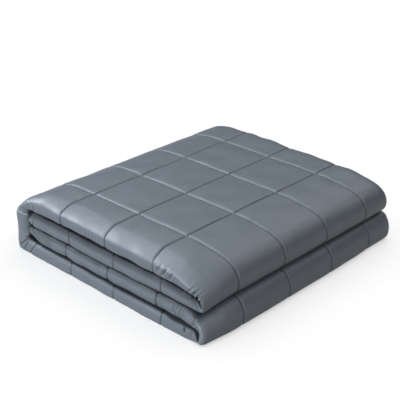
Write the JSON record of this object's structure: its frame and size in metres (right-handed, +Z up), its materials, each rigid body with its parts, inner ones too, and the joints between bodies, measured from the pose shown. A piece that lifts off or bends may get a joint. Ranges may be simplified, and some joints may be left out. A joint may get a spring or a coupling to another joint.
{
  "type": "folded weighted blanket",
  "caption": "Quilted weighted blanket folded in thirds, then book-folded into a flat rectangular pack with soft rounded folds and sewn square cells.",
  "frame": {"origin": "middle of the pack's footprint, on the surface that it rests on", "axes": "+Z up; +X towards the two book folds that lie one above the other; +Y along those folds, away from the clean front folds of the thirds"},
  "size_m": [0.498, 0.525, 0.1292],
  "materials": {
    "quilted_cloth": "satin cotton, slate blue-grey, quilted in square cells"
  },
  "bodies": {
    "root": {"blanket": "quilted_cloth"}
  },
  "joints": []
}
